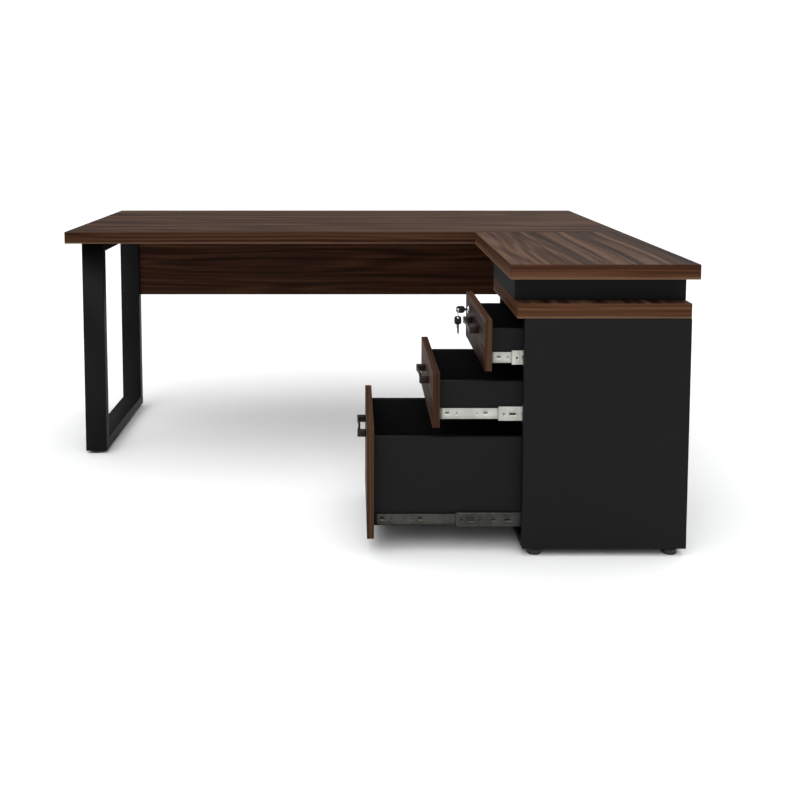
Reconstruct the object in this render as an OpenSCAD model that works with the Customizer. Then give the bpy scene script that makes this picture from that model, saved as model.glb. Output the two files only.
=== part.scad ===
// Corner desk: a main top on two steel loop frames, and a return top standing on a
// three-drawer pedestal whose drawers open to the left.
// Origin: on the floor, at the middle of the desk's footprint. +X right, +Y to the back, +Z up.

/* [Desk] */
// Overall width, left to right
desk_w = 1800; // [1500:10:2000]
// Overall depth, front of the return to back of the main top
desk_d = 1500; // [1400:10:1700]
// Height of the work surface
desk_h = 750; // [740:5:770]
// Thickness of the tops and of the pedestal's top board
top_t = 38; // [30:1:40]
// Depth of the main top
main_d = 780; // [700:10:800]
// Width of the return top
return_w = 475; // [460:5:600]

/* [Leg frames] */
// Width of the steel tube, left to right
tube_w = 70; // [50:5:80]
// Thickness of the tube in the plane of the loop
tube_t = 35; // [25:1:45]
// Wall of the tube
tube_wall = 2; // [1.5:0.5:3]
// Distance of each frame from the end of the main top
frame_inset_x = 40; // [20:5:80]
// Distance of each frame behind the front of the main top
frame_inset_y = 55; // [50:5:80]
// Length of each loop, front to back
frame_l = 560; // [500:10:600]
// Height of the low feet under the frames
frame_foot_h = 9; // [8:1:14]
// Diameter of the low feet under the frames
frame_foot_d = 46; // [30:1:50]

/* [Modesty panel] */
// Height of the panel that hangs under the main top
modesty_h = 270; // [200:10:350]
// Thickness of the panel
modesty_t = 15; // [12:1:18]

/* [Pedestal] */
// Width of the carcass, front to back of the desk
pedestal_w = 420; // [400:5:450]
// Thickness of the carcass sides, bottom and riser panels
panel_t = 18; // [15:1:18]
// Thickness of the carcass back
back_t = 15; // [12:1:15]
// Gap between the pedestal and the right end of the return top
pedestal_inset = 20; // [0:5:40]
// Height of the riser between pedestal and return top
riser_h = 60; // [40:5:80]
// Distance of the riser behind the near edge of the pedestal
riser_inset = 50; // [20:5:80]
// Height of the pedestal's feet
foot_h = 20; // [18:1:30]
// Diameter of the pedestal's feet
foot_d = 38; // [30:1:40]

/* [Drawers] */
// Heights of the fronts: top, middle, bottom
front_h = [132, 142, 286];
// Thickness of the fronts
front_t = 18; // [15:1:18]
// Gap between neighbouring fronts
front_gap = 3; // [2:0.5:4]
// How far each drawer stands open: top, middle, bottom
drawer_open = [80, 210, 375];
// Thickness of the drawer sides and backs
side_t = 15; // [12:1:15]
// Thickness of the drawer bottoms
bottom_t = 6; // [4:1:8]
// Length of the slides
slide_l = 400; // [400:50:400]
// How far each middle slide member stands out of the carcass: top, middle, bottom
member_out = [28, 60, 166];

/* [Handles and lock] */
// Distance between the two feet of a handle
handle_pitch = 128; // [96:32:160]
// How far a handle stands out from its front
handle_out = 24; // [20:1:30]
// Distance of a handle below the top edge of its front
handle_drop = 56; // [50:1:60]
// Distance of the lock from the far edge of the top front
lock_edge = 60; // [60:1:100]
// Distance of the lock below the top edge of the top front
lock_drop = 43; // [40:1:46]

/* [Hidden] */
$fn = 48;
TOP = 0;
MIDDLE = 1;
BOTTOM = 2;
LEFT = -1;
RIGHT = 1;

// Planes of the tops
x_left = -desk_w / 2;
x_right = desk_w / 2;
y_near = -desk_d / 2;
y_far = desk_d / 2;
y_seam = y_far - main_d;
z_under = desk_h - top_t;

// Leg frames: the near ends and the middle of each loop's width
frame_y0 = y_seam + frame_inset_y;
frame_y1 = frame_y0 + frame_l;
frame_x = x_right - frame_inset_x - tube_w / 2;
foot_set_in = frame_foot_d / 2 + 1;

// Modesty panel, centred on the far posts
modesty_y = frame_y1 - tube_t / 2 - modesty_t / 2;

// Pedestal: a = low side, b = high side of each direction
ped_xb = x_right - pedestal_inset;
ped_xa = ped_xb - back_t - slide_l - 3;
ped_ya = y_near;
ped_yb = y_near + pedestal_w;
ped_za = foot_h;
ped_zb = z_under - riser_h - top_t;
ped_back_x = ped_xb - back_t;
board_x = ped_xa - front_t - 1;
foot_inset_x = 35;
foot_inset_y = 26;

// Slides: members stand side by side across the gap between carcass and drawer
slide_gap = 13;
slide_h = [45, 36.4, 27];
slide_steel = 1.2;
slide_y = [0.1, 5];
slide_depth = [9.4, 6.5, 5.5];
middle_l = 350;
ball_r = 1.35;
cage_t = 0.8;
balls_in_row = 6;

// Drawer levels, counted down from the carcass top
front_zb = [for (k = [0:2])
    ped_zb - front_gap - (k > 0 ? front_h[0] + front_gap : 0) - (k > 1 ? front_h[1] + front_gap : 0)];
front_za = [for (k = [0:2]) front_zb[k] - front_h[k]];
box_lift = [12, 12, 24];
box_drop = 30;
box_za = [for (k = [0:2]) front_za[k] + box_lift[k]];
box_zb = [for (k = [0:2]) front_zb[k] - box_drop];
slide_z = [for (k = [0:2]) box_za[k] + 18];

// Drawers: x of the back of each front, and the box behind it
drawer_x = [for (k = [0:2]) ped_xa - 1 - drawer_open[k]];
box_l = slide_l + 2;
box_ya = ped_ya + panel_t + slide_gap;
box_yb = ped_yb - panel_t - slide_gap;
front_side_gap = 2;
groove_lift = 8;
groove_deep = 6;

// Lock axis, and the face it sits in
lock_y = ped_yb - front_side_gap - lock_edge;
lock_z = front_zb[TOP] - lock_drop;
lock_x = drawer_x[TOP] - front_t;
key_hole_out = 30;
ring_r = 12;

walnut = "#4a3226";
black_board = "#212122";
black_steel = "#1b1c1d";
bright_zinc = "#c8cdc3";
dark_zinc = "#46483f";
bronze = "#3a3128";
black_plastic = "#151515";

// ---- Shared shapes ----

// A board given by its two faces in each direction
module board(x0, x1, y0, y1, z0, z1) {
    translate([x0, y0, z0]) cube([x1 - x0, y1 - y0, z1 - z0]);
}

// A round bar or hole of diameter d from a point, along +X, +Y or +Z
module bar_x(x, y, z, d, l) { translate([x, y, z]) rotate([0, 90, 0]) cylinder(d = d, h = l); }
module bar_y(x, y, z, d, l) { translate([x, y, z]) rotate([-90, 0, 0]) cylinder(d = d, h = l); }
module bar_z(x, y, z, d, l) { translate([x, y, z]) cylinder(d = d, h = l); }

// ---- Wood screws and where they go ----

screw_d = 4;
screw_head_d = 8;
screw_head_h = 2.4;
screw_l = 15;
steel_t = 3;

plate_x = [x_right - return_w + 70, x_right - return_w / 2, x_right - 75];
plate_w = 40;
plate_l = 96;
bracket_x = [-600, -200, 200, 600];
bracket_leg = 30;
ear_l = 40;
ear_w = 28;
ear_y = [frame_y0 + 90, frame_y1 - 90];

// Points under the tops where a screw goes up: frame ears, seam plates, brackets
up_screws = concat(
    [for (side = [LEFT, RIGHT], y = ear_y) [side * (frame_x - tube_w / 2 - ear_w / 2), y]],
    [for (x = plate_x, dy = [-0.3, 0.3] * plate_l) [x, y_seam + dy]],
    [for (x = bracket_x) [x, modesty_y + modesty_t + bracket_leg * 0.6]]);

module up_screw_holes(z, l, d) { for (p = up_screws) bar_z(p[0], p[1], z, d, l); }

module back_screw_holes(d) {
    for (x = bracket_x)
        bar_y(x, modesty_y + modesty_t - 12.5, z_under - bracket_leg * 0.6, d, 13);
}

// ---- Tops ----

dowel_d = 8;
dowel_x = [x_right - return_w + 30, plate_x[1] - 80, plate_x[1] + 80, x_right - 30];

module dowel_holes() {
    for (x = dowel_x) bar_y(x, y_seam - 20.5, desk_h - top_t / 2, dowel_d + 0.2, 41);
}

module main_top() {
    color(walnut) difference() {
        board(x_left, x_right, y_seam, y_far, z_under, desk_h);
        dowel_holes();
        up_screw_holes(z_under - 1, 14, screw_d + 0.2);
    }
}

module return_top() {
    color(walnut) difference() {
        board(x_right - return_w, x_right, y_near, y_seam, z_under, desk_h);
        dowel_holes();
        up_screw_holes(z_under - 1, 14, screw_d + 0.2);
    }
}

module seam_dowels() {
    color("burlywood") for (x = dowel_x) bar_y(x, y_seam - 20, desk_h - top_t / 2, dowel_d, 40);
}

module seam_plates() {
    color(black_steel) difference() {
        for (x = plate_x)
            board(x - plate_w / 2, x + plate_w / 2, y_seam - plate_l / 2, y_seam + plate_l / 2,
                z_under - steel_t, z_under);
        up_screw_holes(z_under - 4, 5, screw_d + 0.6);
    }
}

module modesty_panel() {
    inner = frame_x - tube_w / 2;
    color(walnut) difference() {
        board(-inner, inner, modesty_y, modesty_y + modesty_t, z_under - modesty_h, z_under);
        back_screw_holes(screw_d + 0.2);
    }
}

// Angle brackets behind the modesty panel, one leg on the panel and one under the top
module modesty_brackets() {
    y = modesty_y + modesty_t;
    color(bright_zinc) difference() {
        for (x = bracket_x) {
            board(x - 20, x + 20, y, y + bracket_leg, z_under - steel_t, z_under);
            board(x - 20, x + 20, y, y + steel_t, z_under - bracket_leg, z_under);
        }
        up_screw_holes(z_under - 4, 5, screw_d + 0.6);
        for (x = bracket_x) bar_y(x, y - 1, z_under - bracket_leg * 0.6, screw_d + 0.6, 5);
    }
}

// Pan-head wood screws, all the same size
module board_screws() {
    color(bright_zinc) {
        for (p = up_screws) {
            bar_z(p[0], p[1], z_under - steel_t - screw_head_h, screw_head_d, screw_head_h);
            bar_z(p[0], p[1], z_under - steel_t, screw_d, screw_l);
        }
        for (x = bracket_x) {
            y = modesty_y + modesty_t + steel_t;
            bar_y(x, y, z_under - bracket_leg * 0.6, screw_head_d, screw_head_h);
            bar_y(x, y - screw_l, z_under - bracket_leg * 0.6, screw_d, screw_l);
        }
    }
}

// ---- Leg frames ----

// A welded loop of rectangular tube with two ears for the screws into the top
module leg_frame(side) {
    x0 = side * frame_x - tube_w / 2;
    x1 = x0 + tube_w;
    ear_x = side * (frame_x - tube_w / 2 - ear_w / 2);
    color(black_steel) difference() {
        union() {
            difference() {
                board(x0, x1, frame_y0, frame_y1, frame_foot_h, z_under);
                board(x0 - 1, x1 + 1, frame_y0 + tube_t, frame_y1 - tube_t,
                    frame_foot_h + tube_t, z_under - tube_t);
                tube_hollow(x0 + tube_wall, x1 - tube_wall);
            }
            for (y = ear_y)
                board(ear_x - ear_w / 2, ear_x + ear_w / 2, y - ear_l / 2, y + ear_l / 2,
                    z_under - steel_t, z_under);
        }
        up_screw_holes(z_under - 4, 5, screw_d + 0.6);
        for (y = foot_y) bar_z(side * frame_x, y, frame_foot_h - 1, foot_stem_d + 0.4, tube_wall + 2);
    }
}

module left_leg_frame() { leg_frame(LEFT); }

module right_leg_frame() { leg_frame(RIGHT); }

// The hollow inside the tube, running round the loop
module tube_hollow(x0, x1) {
    difference() {
        board(x0, x1, frame_y0 + tube_wall, frame_y1 - tube_wall,
            frame_foot_h + tube_wall, z_under - tube_wall);
        board(x0 - 1, x1 + 1, frame_y0 + tube_t - tube_wall, frame_y1 - tube_t + tube_wall,
            frame_foot_h + tube_t - tube_wall, z_under - tube_t + tube_wall);
    }
}

foot_y = [frame_y0 + foot_set_in, frame_y1 - foot_set_in];
foot_stem_d = 8;

// Low feet: a disc with a rounded rim and a stem that screws into the tube
module frame_feet() {
    color(black_plastic) for (side = [LEFT, RIGHT], y = foot_y) translate([side * frame_x, y, 0])
        rotate_extrude() polygon([
            [0, 0], [frame_foot_d / 2 - 4, 0], [frame_foot_d / 2 - 1, 2], [frame_foot_d / 2, frame_foot_h - 2],
            [frame_foot_d / 2, frame_foot_h - 0.1], [foot_stem_d / 2, frame_foot_h - 0.1],
            [foot_stem_d / 2, frame_foot_h + 16], [0, frame_foot_h + 16]]);
}

// ---- Pedestal carcass ----

cam_d = 15;
cam_deep = 12;
cam_from_edge = 34;
cam_bolt_d = 6.6;
cam_z = [120, 520];
cam_x = [ped_xa + 60, ped_xa + 330];

// Both ends of a carcass panel: the inner face of each side, and the way into the panel
carcass_ends = [[ped_ya + panel_t, 1], [ped_yb - panel_t, -1]];

// Discs let into the inner face of the back and the underside of the bottom
module cam_disc_shapes(play) {
    for (e = carcass_ends) {
        y = e[0] + e[1] * cam_from_edge;
        for (z = cam_z) bar_x(ped_back_x - play, y, z, cam_d + play, cam_deep + play);
        for (x = cam_x) bar_z(x, y, ped_za - play, cam_d + play, cam_deep + play);
    }
}

// Bolts that run from a side into the edge of the panel, up to the disc
module cam_bolt_shapes(play) {
    reach = cam_from_edge - cam_d / 2 - 0.3;
    for (e = carcass_ends) {
        y = min(e[0] - e[1] * 10, e[0] + e[1] * reach);
        for (z = cam_z) bar_y(ped_back_x + cam_deep / 2, y, z, cam_bolt_d + play, 10 + reach);
        for (x = cam_x) bar_y(x, y, ped_za + cam_deep / 2, cam_bolt_d + play, 10 + reach);
    }
}

module pedestal_board(x0, x1, y0, y1, z0, z1) {
    color(black_board) difference() {
        board(x0, x1, y0, y1, z0, z1);
        cam_disc_shapes(0.2);
        cam_bolt_shapes(0.2);
    }
}

module pedestal_near_side() { pedestal_board(ped_xa, ped_xb, ped_ya, ped_ya + panel_t, ped_za, ped_zb); }

module pedestal_far_side() { pedestal_board(ped_xa, ped_xb, ped_yb - panel_t, ped_yb, ped_za, ped_zb); }

module pedestal_back() {
    pedestal_board(ped_back_x, ped_xb, ped_ya + panel_t, ped_yb - panel_t, ped_za, ped_zb);
}

module pedestal_bottom() {
    difference() {
        pedestal_board(ped_xa, ped_back_x, ped_ya + panel_t, ped_yb - panel_t, ped_za, ped_za + panel_t);
        for (p = ped_feet) bar_z(p[0], p[1], ped_za - 1, foot_stem_d + 0.4, panel_t + 2);
    }
}

module cam_discs() { color(bright_zinc) cam_disc_shapes(0); }

module cam_bolts() { color(bright_zinc) cam_bolt_shapes(0); }

ped_feet = [for (x = [ped_xa + foot_inset_x, ped_xb - foot_inset_x],
    y = [ped_ya + foot_inset_y, ped_yb - foot_inset_y]) [x, y]];

// Round levelling feet: a wide pad, a collar and a stem in the bottom board
module pedestal_feet() {
    r = foot_d / 2;
    color(black_plastic) for (p = ped_feet) translate([p[0], p[1], 0])
        rotate_extrude() polygon([
            [0, 0], [r - 3, 0], [r - 0.5, 2.5], [r, 5], [r, foot_h - 6], [r - 1.5, foot_h - 4],
            [11, foot_h - 4], [11, foot_h - 0.1], [foot_stem_d / 2, foot_h - 0.1],
            [foot_stem_d / 2, foot_h + 14], [0, foot_h + 14]]);
}

module pedestal_top() {
    color(walnut) board(board_x, ped_xb, ped_ya, ped_yb, ped_zb, ped_zb + top_t);
}

// ---- Riser: four panels between the pedestal's top board and the return top ----

module riser_panel(x0, x1, y0, y1) { color(black_board) board(x0, x1, y0, y1, ped_zb + top_t, z_under); }

riser_y = ped_ya + riser_inset;

module riser_near() { riser_panel(board_x, ped_xb, riser_y, riser_y + panel_t); }

module riser_far() { riser_panel(board_x, ped_xb, ped_yb - panel_t, ped_yb); }

module riser_left() { riser_panel(board_x, board_x + panel_t, riser_y + panel_t, ped_yb - panel_t); }

module riser_right() { riser_panel(ped_xb - panel_t, ped_xb, riser_y + panel_t, ped_yb - panel_t); }

// ---- Drawer boxes ----

module drawer_front(k) {
    color(walnut) difference() {
        board(drawer_x[k] - front_t, drawer_x[k], ped_ya + front_side_gap, ped_yb - front_side_gap,
            front_za[k], front_zb[k]);
        handle_screw_holes(k);
        if (k == TOP) bar_x(lock_x - 1, lock_y, lock_z, housing_d + 0.4, front_t + 2);
    }
}

// A side board with the groove that holds the bottom
module drawer_side(k, y0, groove_y) {
    groove_z = box_za[k] + groove_lift - 0.1;
    color(black_board) difference() {
        board(drawer_x[k], drawer_x[k] + box_l, y0, y0 + side_t, box_za[k], box_zb[k]);
        board(drawer_x[k] - 1, drawer_x[k] + box_l + 1, groove_y, groove_y + groove_deep + 0.2,
            groove_z, groove_z + bottom_t + 0.2);
    }
}

module drawer_near_side(k) { drawer_side(k, box_ya, box_ya + side_t - groove_deep - 0.1); }

module drawer_far_side(k) { drawer_side(k, box_yb - side_t, box_yb - side_t - 0.1); }

module drawer_back(k) {
    color(black_board) board(drawer_x[k] + box_l - side_t, drawer_x[k] + box_l, box_ya + side_t, box_yb - side_t,
        box_za[k] + groove_lift + bottom_t, box_zb[k]);
}

module drawer_bottom(k) {
    color(black_board) board(drawer_x[k], drawer_x[k] + box_l,
        box_ya + side_t - groove_deep, box_yb - side_t + groove_deep,
        box_za[k] + groove_lift, box_za[k] + groove_lift + bottom_t);
}

module top_drawer_front() { drawer_front(TOP); }
module top_drawer_near_side() { drawer_near_side(TOP); }
module top_drawer_far_side() { drawer_far_side(TOP); }
module top_drawer_back() { drawer_back(TOP); }
module top_drawer_bottom() { drawer_bottom(TOP); }
module middle_drawer_front() { drawer_front(MIDDLE); }
module middle_drawer_near_side() { drawer_near_side(MIDDLE); }
module middle_drawer_far_side() { drawer_far_side(MIDDLE); }
module middle_drawer_back() { drawer_back(MIDDLE); }
module middle_drawer_bottom() { drawer_bottom(MIDDLE); }
module bottom_drawer_front() { drawer_front(BOTTOM); }
module bottom_drawer_near_side() { drawer_near_side(BOTTOM); }
module bottom_drawer_far_side() { drawer_far_side(BOTTOM); }
module bottom_drawer_back() { drawer_back(BOTTOM); }
module bottom_drawer_bottom() { drawer_bottom(BOTTOM); }

// ---- Ball-bearing slides ----

// A channel of bent steel lying along +X: its web stands at y = 0 and its flanges point along +Y
module channel(l, h, depth) {
    difference() {
        translate([0, 0, -h / 2]) cube([l, depth, h]);
        translate([-1, slide_steel, -h / 2 + slide_steel]) cube([l + 2, depth, h - 2 * slide_steel]);
    }
}

// Elongated screw slot through a web
module slot(x, l, d) {
    for (dx = [0, l]) bar_y(x + dx, -1, 0, d, 4);
    translate([x, -1, -d / 2]) cube([l, 4, d]);
}

// Places its child for the near slide and its mirror image for the far one
module both_sides(k) {
    near_wall = ped_ya + panel_t;
    far_wall = ped_yb - panel_t;
    translate([0, near_wall, slide_z[k]]) children();
    translate([0, far_wall, slide_z[k]]) mirror([0, 1, 0]) children();
}

module slides_cabinet(k, finish) {
    color(finish) both_sides(k) translate([ped_xa + 1, slide_y[0], 0]) difference() {
        channel(slide_l, slide_h[0], slide_depth[0]);
        for (x = [30, 200, 360]) slot(x, 8, 5);
    }
}

module slides_middle(k, finish) {
    color(finish) both_sides(k) translate([ped_xa - member_out[k], slide_y[1], 0]) difference() {
        channel(middle_l, slide_h[1], slide_depth[1]);
        for (x = [14, 46]) slot(x, 12, 6);
        for (x = [90, 200, 300]) bar_y(x, -1, 0, 6, 4);
    }
}

// The drawer member opens towards the carcass, so its web lies on the drawer's side
module slides_drawer(k, finish) {
    y = slide_gap - 0.1;
    color(finish) both_sides(k) translate([drawer_x[k] + 1, y, 0]) mirror([0, 1, 0]) difference() {
        channel(slide_l, slide_h[2], slide_depth[2]);
        for (x = [24, 128, 300]) slot(x, 12, 5);
        for (x = [60, 100, 240]) bar_y(x, -1, 0, 4.5, 4);
    }
}

// Balls in their cages, above and below: one row between cabinet and middle member, one between
// middle and drawer member
module slides_balls(k, finish) {
    outer_z = (slide_h[0] - slide_steel * 2 + slide_h[1]) / 4;
    inner_z = (slide_h[1] - slide_steel * 2 + slide_h[2]) / 4;
    x = ped_xa - member_out[k];
    color(finish) both_sides(k) for (s = [-1, 1]) {
        ball_row(x + middle_l - 130, slide_y[1] + 2.4, s * outer_z);
        ball_row(x + 20, slide_y[1] + 4.8, s * inner_z);
    }
}

module ball_row(x, y, z) {
    translate([x, y - 2, z - cage_t / 2]) cube([120, 4, cage_t]);
    for (i = [0:balls_in_row - 1]) translate([x + 10 + i * 20, y, z]) sphere(r = ball_r, $fn = 24);
}

module top_slides_cabinet() { slides_cabinet(TOP, bright_zinc); }
module top_slides_middle() { slides_middle(TOP, bright_zinc); }
module top_slides_drawer() { slides_drawer(TOP, bright_zinc); }
module top_slides_balls() { slides_balls(TOP, bright_zinc); }
module middle_slides_cabinet() { slides_cabinet(MIDDLE, bright_zinc); }
module middle_slides_middle() { slides_middle(MIDDLE, bright_zinc); }
module middle_slides_drawer() { slides_drawer(MIDDLE, bright_zinc); }
module middle_slides_balls() { slides_balls(MIDDLE, bright_zinc); }
module bottom_slides_cabinet() { slides_cabinet(BOTTOM, dark_zinc); }
module bottom_slides_middle() { slides_middle(BOTTOM, dark_zinc); }
module bottom_slides_drawer() { slides_drawer(BOTTOM, dark_zinc); }
module bottom_slides_balls() { slides_balls(BOTTOM, bright_zinc); }

// ---- Handles ----

handle_h = 18;
handle_foot = 16;
grip_t = 8;
handle_y = (ped_ya + ped_yb) / 2;
handle_screw_d = 4;

function handle_z(k) = front_zb[k] - handle_drop;

module handle_screw_holes(k) {
    for (s = [-1, 1])
        bar_x(drawer_x[k] - front_t - 1, handle_y + s * handle_pitch / 2, handle_z(k), handle_screw_d + 0.4,
            front_t + 2);
}

// A bow: two square feet and a flat grip with chamfered ends, fixed by screws from inside the drawer
module handle(k) {
    face = drawer_x[k] - front_t;
    half = handle_pitch / 2;
    color(bronze) translate([face, handle_y, handle_z(k)]) {
        for (s = [-1, 1]) {
            translate([-handle_out + 1, s * half - handle_foot / 2, -handle_h / 2])
                cube([handle_out - 1, handle_foot, handle_h]);
            bar_x(-1, s * half, 0, handle_screw_d, front_t + 1);
            bar_x(front_t, s * half, 0, screw_head_d, screw_head_h);
        }
        end = half + handle_foot / 2;
        translate([0, 0, -handle_h / 2]) linear_extrude(handle_h) polygon([
            [-handle_out + grip_t, end], [-handle_out + grip_t, -end], [-handle_out + 3, -end],
            [-handle_out, -end + 5], [-handle_out, end - 5], [-handle_out + 3, end]]);
    }
}

module top_handle() { handle(TOP); }
module middle_handle() { handle(MIDDLE); }
module bottom_handle() { handle(BOTTOM); }

// ---- Lock and keys ----

housing_d = 18;
flange_d = 23;
plug_d = 12;
lock_l = 24;
cam_arm = 34;
key_t = 2.2;
blade_h = 7;
bow_l = 25;
bow_h = 21;

// Housing: a bright ring on the face, a barrel through the front, a nut behind it
module lock_housing() {
    color(bright_zinc) difference() {
        union() {
            bar_x(lock_x - 3, lock_y, lock_z, flange_d, 3);
            bar_x(lock_x, lock_y, lock_z, housing_d, lock_l - 1);
            bar_x(lock_x + front_t + 0.1, lock_y, lock_z, flange_d, 3);
        }
        bar_x(lock_x - 4, lock_y, lock_z, plug_d + 0.1, lock_l + 4);
    }
}

// Plug: turns in the housing, with the slot for the key and a square end for the cam
module lock_plug() {
    color(bright_zinc) difference() {
        union() {
            bar_x(lock_x - 3.4, lock_y, lock_z, plug_d, lock_l + 3.4);
            translate([lock_x + lock_l, lock_y - 3, lock_z - 3]) cube([2, 6, 6]);
        }
        translate([lock_x - 4, lock_y - key_t / 2 - 0.1, lock_z - blade_h / 2 - 0.1])
            cube([22.5, key_t + 0.2, blade_h + 0.2]);
    }
}

// Cam: an arm that lies level when unlocked and stands up behind the strike when locked
module lock_cam() {
    color(bright_zinc) translate([lock_x + lock_l, lock_y, lock_z]) difference() {
        union() {
            rotate([0, 90, 0]) cylinder(d = 15, h = 2);
            translate([0, -cam_arm, -5]) cube([2, cam_arm, 10]);
        }
        translate([-1, -3.05, -3.05]) cube([4, 6.1, 6.1]);
    }
}

// Strike: an angle under the pedestal's top board that holds the raised cam
module lock_strike() {
    x = ped_xa - 1 + 3.4;
    color(bright_zinc) {
        board(x, x + 1.6, lock_y - 15, lock_y + 15, ped_zb - 24, ped_zb);
        board(x, x + 22, lock_y - 15, lock_y + 15, ped_zb - 1.6, ped_zb);
    }
}

// A key lying along +X: rounded plastic bow, then the steel blade, cut with a few bitting notches
module key(bow_hole_x) {
    difference() {
        union() {
            rotate([90, 0, 0]) linear_extrude(4, center = true) bow_outline();
            translate([bow_l - 3, -key_t / 2, -blade_h / 2]) cube([31, key_t, blade_h]);
        }
        bar_y(bow_hole_x, -4, 0, 5, 8);
        for (i = [0:3]) translate([bow_l + 9 + i * 4.4, -2, -blade_h / 2 - 2.9 + (i % 2)])
            rotate([0, 45, 0]) cube([3, 4, 3]);
        translate([bow_l + 25.5, -2, blade_h / 2]) rotate([0, 45, 0]) cube([10, 4, 5]);
    }
}

// The bow's outline: a rounded rectangle
module bow_outline() {
    r = 6;
    union() {
        translate([r, -bow_h / 2]) square([bow_l - 2 * r, bow_h]);
        translate([0, -bow_h / 2 + r]) square([bow_l, bow_h - 2 * r]);
        for (x = [r, bow_l - r], y = [-1, 1] * (bow_h / 2 - r)) translate([x, y]) circle(r = r);
    }
}

bow_hole = 5;

module lock_key() {
    color(black_plastic) translate([lock_x - key_hole_out - bow_hole, lock_y, lock_z]) key(bow_hole);
}

// Ring of spring wire through both bows; it hangs across the front
module key_ring() {
    color(bright_zinc) translate([lock_x - key_hole_out, lock_y, lock_z - ring_r]) rotate([0, 90, 0])
        rotate_extrude($fn = 64) translate([ring_r, 0]) circle(d = 1.4, $fn = 24);
}

// The spare key hangs from the ring, blade down
module spare_key() {
    color(black_plastic) translate([lock_x - key_hole_out, lock_y, lock_z - 2 * ring_r + bow_hole])
        rotate([0, 90, 0]) key(bow_hole);
}

main_top();
return_top();
modesty_panel();
left_leg_frame();
right_leg_frame();
frame_feet();
modesty_brackets();
seam_plates();
seam_dowels();
board_screws();
pedestal_top();
pedestal_near_side();
pedestal_far_side();
pedestal_back();
pedestal_bottom();
pedestal_feet();
cam_discs();
cam_bolts();
riser_near();
riser_far();
riser_left();
riser_right();
lock_strike();
top_drawer_front();
top_drawer_near_side();
top_drawer_far_side();
top_drawer_back();
top_drawer_bottom();
middle_drawer_front();
middle_drawer_near_side();
middle_drawer_far_side();
middle_drawer_back();
middle_drawer_bottom();
bottom_drawer_front();
bottom_drawer_near_side();
bottom_drawer_far_side();
bottom_drawer_back();
bottom_drawer_bottom();
top_slides_cabinet();
top_slides_middle();
top_slides_drawer();
top_slides_balls();
middle_slides_cabinet();
middle_slides_middle();
middle_slides_drawer();
middle_slides_balls();
bottom_slides_cabinet();
bottom_slides_middle();
bottom_slides_drawer();
bottom_slides_balls();
top_handle();
middle_handle();
bottom_handle();
lock_housing();
lock_plug();
lock_cam();
lock_key();
key_ring();
spare_key();
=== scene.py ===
import math

import bpy
import numpy as np
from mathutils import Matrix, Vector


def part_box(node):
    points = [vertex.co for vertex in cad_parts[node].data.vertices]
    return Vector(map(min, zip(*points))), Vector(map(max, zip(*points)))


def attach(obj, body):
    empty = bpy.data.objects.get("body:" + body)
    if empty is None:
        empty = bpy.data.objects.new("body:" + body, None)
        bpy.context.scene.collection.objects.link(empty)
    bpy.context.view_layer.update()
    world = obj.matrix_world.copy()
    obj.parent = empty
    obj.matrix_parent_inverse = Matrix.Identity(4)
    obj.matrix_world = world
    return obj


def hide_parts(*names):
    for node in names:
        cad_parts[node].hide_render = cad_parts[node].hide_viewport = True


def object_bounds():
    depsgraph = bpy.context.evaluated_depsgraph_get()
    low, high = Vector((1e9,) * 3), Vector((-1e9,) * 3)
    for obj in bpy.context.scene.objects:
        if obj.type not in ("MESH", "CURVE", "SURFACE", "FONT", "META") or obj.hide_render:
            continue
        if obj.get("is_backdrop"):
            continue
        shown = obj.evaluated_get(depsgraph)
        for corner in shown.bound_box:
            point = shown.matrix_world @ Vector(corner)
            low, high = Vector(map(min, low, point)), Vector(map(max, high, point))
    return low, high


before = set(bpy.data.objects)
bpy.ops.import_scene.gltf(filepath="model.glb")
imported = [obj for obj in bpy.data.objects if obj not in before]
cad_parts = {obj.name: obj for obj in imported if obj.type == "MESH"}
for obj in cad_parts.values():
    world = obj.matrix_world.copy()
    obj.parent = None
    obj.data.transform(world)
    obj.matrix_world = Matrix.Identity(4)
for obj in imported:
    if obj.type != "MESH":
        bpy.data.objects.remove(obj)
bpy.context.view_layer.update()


# ---- Room: floor, light and camera ----
# The desk stands on a wide, plain, pale floor under soft light from above and in front,
# with a weak fill from behind. The camera looks along +Y from a little above the tops.

room = bpy.context.scene
room.view_settings.view_transform = "Standard"


def put(tree, kind, wires, **settings):
    """Adds a shader node. Settings are its own properties; wires holds, for each input,
    the socket to link or the value to set."""
    made = tree.nodes.new("ShaderNode" + kind)
    for name, value in settings.items():
        setattr(made, name, value)
    for key, value in wires.items():
        if isinstance(value, bpy.types.NodeSocket):
            tree.links.new(value, made.inputs[key])
        else:
            made.inputs[key].default_value = value
    return made


def object_place(tree):
    """Object coordinates, in metres."""
    return put(tree, "TexCoord", {}).outputs["Object"]


def noise(tree, vector, scale, detail):
    """A cloudy value round 0.5, with about scale lumps in a metre."""
    return put(tree, "TexNoise", {"Vector": vector, "Scale": scale, "Detail": detail}).outputs["Fac"]


def blend_of(tree, factor, first, second):
    """The first colour at factor 0, the second at 1, and a straight mix between."""
    return put(tree, "Mix", {"Factor": factor, 6: first, 7: second}, data_type="RGBA").outputs[2]


FLOOR_RADIUS, FLOOR_STEPS = 60.0, 64
LOW_AMBIENT, HIGH_AMBIENT = 0.13, 0.85

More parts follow.
